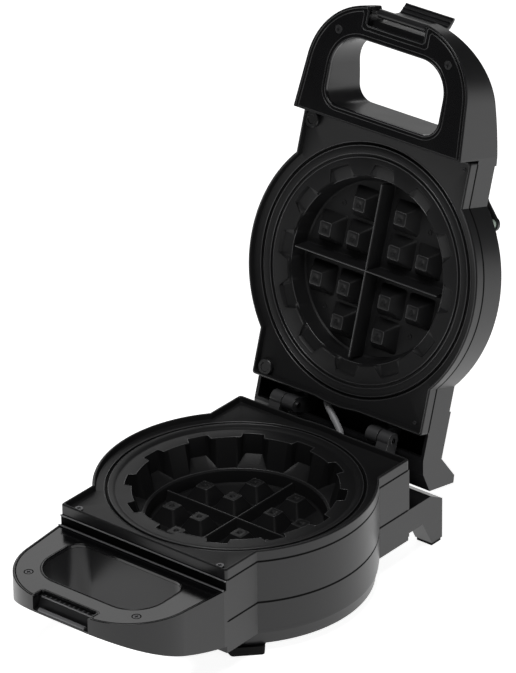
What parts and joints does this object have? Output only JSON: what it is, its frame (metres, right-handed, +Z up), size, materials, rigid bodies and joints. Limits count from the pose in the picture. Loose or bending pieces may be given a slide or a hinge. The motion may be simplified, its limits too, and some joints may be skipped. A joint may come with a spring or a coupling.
{
  "type": "waffle maker",
  "caption": "Deep-dish waffle maker: round clamshell body with notched deep lower plate, shallow upper plate, D-shaped handles, rear hinge and flip latch.",
  "frame": {"origin": "middle of the open appliance's footprint box, on the surface it stands on", "axes": "+Z up, -Y towards the handles, +Y towards the hinge, X along the hinge axis"},
  "size_m": [0.24, 0.4901, 0.4454],
  "materials": {
    "housing": "satin black moulded plastic",
    "handle_panel": "satin black moulded plastic",
    "latch_plastic": "semi-gloss black plastic",
    "nonstick": "black non-stick coated cast aluminium",
    "rubber": "matt black rubber",
    "hinge_black": "gloss black enamelled steel",
    "screw_black": "blackened steel",
    "pin_steel": "plain steel",
    "clip_steel": "spring steel",
    "element_steel": "sheathed heating element",
    "foil_steel": "bright aluminised sheet",
    "wire_sleeve": "pale glass-fibre sleeve",
    "ceramic": "ceramic",
    "fuse_sleeve": "woven sleeve",
    "terminal_plastic": "natural nylon",
    "lead_sleeve": "silicone lead",
    "power_lens": "red lens",
    "ready_lens": "green lens"
  },
  "bodies": {
    "base": {"base_housing": "housing", "bottom_cover": "housing", "bottom_cover_screws": "pin_steel", "front_feet": "rubber", "rear_foot_pads": "rubber", "lower_plate": "nonstick", "lower_plate_screws": "screw_black", "lower_handle_cover": "handle_panel", "lower_handle_screws": "screw_black", "lower_heater": "element_steel", "lower_heater_clips": "foil_steel", "lower_reflector": "foil_steel", "thermostat": "ceramic", "lower_thermal_fuse": "fuse_sleeve", "terminal_block": "terminal_plastic", "internal_leads": "lead_sleeve", "cord_inlet_bushing": "rubber", "hinge_bracket_left": "hinge_black", "hinge_bracket_right": "hinge_black", "hinge_bracket_screws": "screw_black", "hinge_pins": "pin_steel", "rear_plate_clips": "clip_steel", "wire_sleeve": "wire_sleeve"},
    "lid": {"lid_housing": "housing", "upper_plate": "nonstick", "upper_plate_screws": "screw_black", "upper_handle_panel": "handle_panel", "upper_handle_screws": "screw_black", "upper_heater": "element_steel", "upper_reflector": "foil_steel", "upper_thermal_fuse": "fuse_sleeve", "hinge_arm_left": "hinge_black", "hinge_arm_right": "hinge_black", "hinge_arm_screws": "screw_black", "indicator_bezel": "latch_plastic", "power_lens": "power_lens", "ready_lens": "ready_lens", "latch_pin": "pin_steel"},
    "latch": {"latch": "latch_plastic"}
  },
  "joints": [
    {"name": "lid_hinge", "type": "hinge", "parent": "base", "child": "lid", "pos_m": [0, 0.111, 0.101], "axis": [1, 0, 0], "range_deg": [0, 107.5], "deforming": ["wire_sleeve"]},
    {"name": "latch_pivot", "type": "hinge", "parent": "lid", "child": "latch", "pos_m": [0, 0.20781, 0.43798], "axis": [1, 0, 0], "range_deg": [0, 168]}
  ]
}
